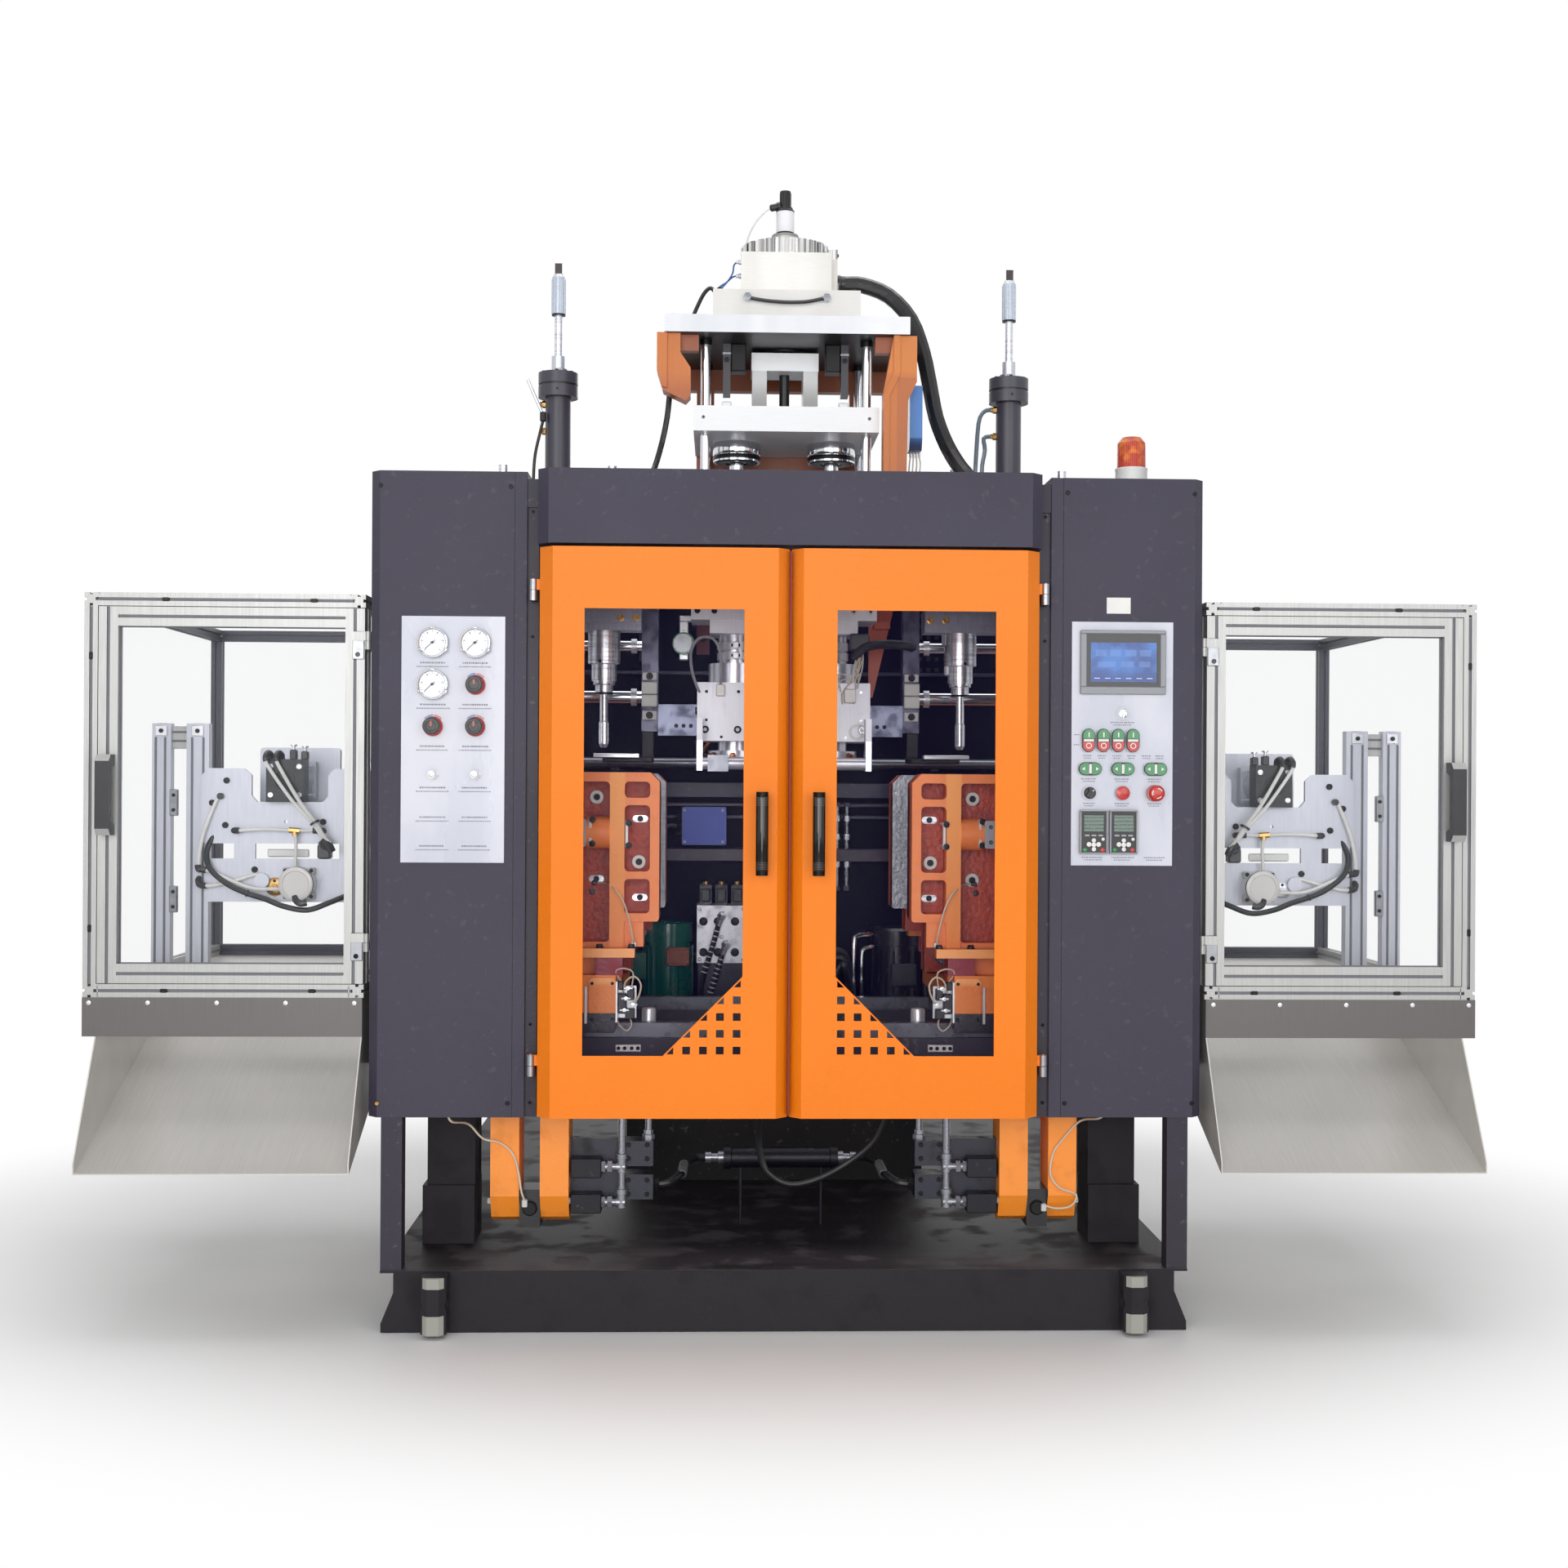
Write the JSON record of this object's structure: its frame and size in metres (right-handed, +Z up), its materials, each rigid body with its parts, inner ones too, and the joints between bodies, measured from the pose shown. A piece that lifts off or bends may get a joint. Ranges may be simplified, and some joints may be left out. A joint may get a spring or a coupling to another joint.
{
  "type": "blow moulding machine",
  "caption": "Double-station extrusion blow moulding machine with hinged orange doors, shuttling mould carriages, twin die head and guarded trimming bays with chutes.",
  "frame": {"origin": "on the floor, under the middle of the die head, midway between the two stations", "axes": "+X to the right seen from the operator's side, +Y to the back along the extruder, +Z up"},
  "size_m": [3.504, 2.95, 3.002],
  "materials": {
    "frame_paint": "dark grey semi-gloss paint",
    "cabinet_paint": "violet-grey semi-gloss paint",
    "orange_paint": "orange gloss paint",
    "platen_paint": "red-orange gloss paint",
    "panel_paint": "pale lavender satin paint",
    "cylinder_paint": "dark grey satin coating",
    "green_paint": "blue-green gloss paint",
    "blue_paint": "blue gloss paint",
    "bare_steel": "machined steel",
    "stainless": "brushed stainless sheet",
    "chrome": "polished chrome",
    "aluminium": "anodised satin",
    "tinted_pane": "violet-blue tinted clear plastic",
    "clear_pane": "clear plastic",
    "red_plastic": "red gloss plastic",
    "grey_plastic": "grey plastic",
    "dark_plastic": "black plastic",
    "black_rubber": "black gloss sheath"
  },
  "bodies": {
    "frame": {"base_frame": "frame_paint", "upper_frame": "frame_paint", "left_cabinet": "cabinet_paint", "right_cabinet": "cabinet_paint", "header_panel": "cabinet_paint", "rear_panel": "frame_paint", "support_arms": "orange_paint", "shuttle_rails": "bare_steel", "cross_rods": "chrome", "pneumatic_panel": "panel_paint", "pressure_gauges": "chrome", "control_panel": "panel_paint", "touch_screen": "grey_plastic", "drive_keypads": "dark_plastic", "warning_beacon": "red_plastic", "blow_cylinders": "cylinder_paint", "die_head": "bare_steel", "head_frame": "bare_steel", "head_brackets": "orange_paint", "parison_actuator": "aluminium", "extruder_barrel": "bare_steel", "extruder_drive": "blue_paint", "hopper": "bare_steel", "oil_tank": "cabinet_paint", "pump_motor": "green_paint", "valve_manifold": "aluminium", "junction_boxes": "blue_paint", "guard_frames": "aluminium", "guard_panes": "clear_pane", "product_chutes": "stainless", "trim_units": "aluminium", "hoses_and_cables": "black_rubber"},
    "left_door_body": {"left_door": "orange_paint", "left_door_pane": "tinted_pane"},
    "left_guard_door_body": {"left_guard_door": "aluminium", "left_guard_pane": "clear_pane"},
    "left_carriage_body": {"left_carriage": "bare_steel"},
    "left_front_platen_body": {"left_front_platen": "platen_paint"},
    "left_rear_platen_body": {"left_rear_platen": "platen_paint"},
    "left_blow_body": {"left_blow_unit": "bare_steel"},
    "left_punch_body": {"left_trim_punch": "bare_steel"},
    "right_door_body": {"right_door": "orange_paint", "right_door_pane": "tinted_pane"},
    "right_guard_door_body": {"right_guard_door": "aluminium", "right_guard_pane": "clear_pane"},
    "right_carriage_body": {"right_carriage": "bare_steel"},
    "right_front_platen_body": {"right_front_platen": "platen_paint"},
    "right_rear_platen_body": {"right_rear_platen": "platen_paint"},
    "right_blow_body": {"right_blow_unit": "bare_steel"},
    "right_punch_body": {"right_trim_punch": "bare_steel"},
    "yoke_body": {"parison_yoke": "bare_steel"},
    "knife_body": {"parison_knife": "bare_steel"},
    "screw_body": {"extruder_screw": "bare_steel"},
    "regulator_body_1": {"regulator_knob_1": "red_plastic"},
    "regulator_body_2": {"regulator_knob_2": "red_plastic"},
    "regulator_body_3": {"regulator_knob_3": "red_plastic"},
    "stop_body": {"emergency_stop": "red_plastic"},
    "reset_body": {"reset_button": "red_plastic"},
    "selector_body": {"mode_selector": "dark_plastic"},
    "key_body": {"key_switch": "chrome"}
  },
  "joints": [
    {"name": "left_door_hinge", "type": "hinge", "parent": "frame", "child": "left_door_body", "pos_m": [-0.6335, -0.572, 1.238], "axis": [0, 0, -1], "range_deg": [0, 100]},
    {"name": "left_guard_hinge", "type": "hinge", "parent": "frame", "child": "left_guard_door_body", "pos_m": [-1.05, -0.497, 1.3225], "axis": [0, 0, 1], "range_deg": [0, 90]},
    {"name": "left_shuttle", "type": "slide", "parent": "frame", "child": "left_carriage_body", "axis": [1, 0, 0], "range_m": [0, 0.625]},
    {"name": "left_clamp", "type": "slide", "parent": "left_carriage_body", "child": "left_front_platen_body", "axis": [0, 1, 0], "range_m": [0, 0.09]},
    {"name": "left_clamp_rear", "type": "slide", "parent": "left_carriage_body", "child": "left_rear_platen_body", "axis": [0, 1, 0], "range_m": [-0.09, 0]},
    {"name": "left_blow", "type": "slide", "parent": "frame", "child": "left_blow_body", "axis": [0, 0, 1], "range_m": [-0.11, 0]},
    {"name": "left_trim", "type": "slide", "parent": "frame", "child": "left_punch_body", "axis": [0, 1, 0], "range_m": [0, 0.08]},
    {"name": "right_door_hinge", "type": "hinge", "parent": "frame", "child": "right_door_body", "pos_m": [0.6335, -0.572, 1.238], "axis": [0, 0, 1], "range_deg": [0, 100]},
    {"name": "right_guard_hinge", "type": "hinge", "parent": "frame", "child": "right_guard_door_body", "pos_m": [1.05, -0.497, 1.3225], "axis": [0, 0, -1], "range_deg": [0, 90]},
    {"name": "right_shuttle", "type": "slide", "parent": "frame", "child": "right_carriage_body", "axis": [1, 0, 0], "range_m": [-0.625, 0]},
    {"name": "right_clamp", "type": "slide", "parent": "right_carriage_body", "child": "right_front_platen_body", "axis": [0, 1, 0], "range_m": [0, 0.09]},
    {"name": "right_clamp_rear", "type": "slide", "parent": "right_carriage_body", "child": "right_rear_platen_body", "axis": [0, 1, 0], "range_m": [-0.09, 0]},
    {"name": "right_blow", "type": "slide", "parent": "frame", "child": "right_blow_body", "axis": [0, 0, 1], "range_m": [-0.11, 0]},
    {"name": "right_trim", "type": "slide", "parent": "frame", "child": "right_punch_body", "axis": [0, 1, 0], "range_m": [0, 0.08]},
    {"name": "die_gap", "type": "slide", "parent": "frame", "child": "yoke_body", "axis": [0, 0, 1], "range_m": [-0.03, 0]},
    {"name": "knife", "type": "slide", "parent": "frame", "child": "knife_body", "axis": [1, 0, 0], "range_m": [0, 0.35]},
    {"name": "screw_spin", "type": "hinge", "parent": "frame", "child": "screw_body", "pos_m": [0, 0.9, 1.85], "axis": [0, 1, 0], "continuous": true},
    {"name": "regulator_1", "type": "hinge", "parent": "frame", "child": "regulator_body_1", "pos_m": [-0.776, -0.553, 1.599], "axis": [0, 1, 0], "range_deg": [-150, 150]},
    {"name": "regulator_2", "type": "hinge", "parent": "frame", "child": "regulator_body_2", "pos_m": [-0.88, -0.553, 1.496], "axis": [0, 1, 0], "range_deg": [-150, 150]},
    {"name": "regulator_3", "type": "hinge", "parent": "frame", "child": "regulator_body_3", "pos_m": [-0.776, -0.553, 1.496], "axis": [0, 1, 0], "range_deg": [-150, 150]},
    {"name": "stop_press", "type": "slide", "parent": "frame", "child": "stop_body", "axis": [0, 1, 0], "range_m": [0, 0.005], "stiffness_N_per_m": 2000},
    {"name": "reset_press", "type": "slide", "parent": "frame", "child": "reset_body", "axis": [0, 1, 0], "range_m": [0, 0.004], "stiffness_N_per_m": 1000},
    {"name": "selector", "type": "hinge", "parent": "frame", "child": "selector_body", "pos_m": [0.749, -0.553, 1.341], "axis": [0, 1, 0], "range_deg": [-45, 45]},
    {"name": "key", "type": "hinge", "parent": "frame", "child": "key_body", "pos_m": [0.831, -0.553, 1.539], "axis": [0, 1, 0], "range_deg": [0, 90]}
  ],
  "couplings": [
    {"joint": "left_clamp_rear", "follows": "left_clamp", "ratio": -1},
    {"joint": "right_clamp_rear", "follows": "right_clamp", "ratio": -1}
  ]
}
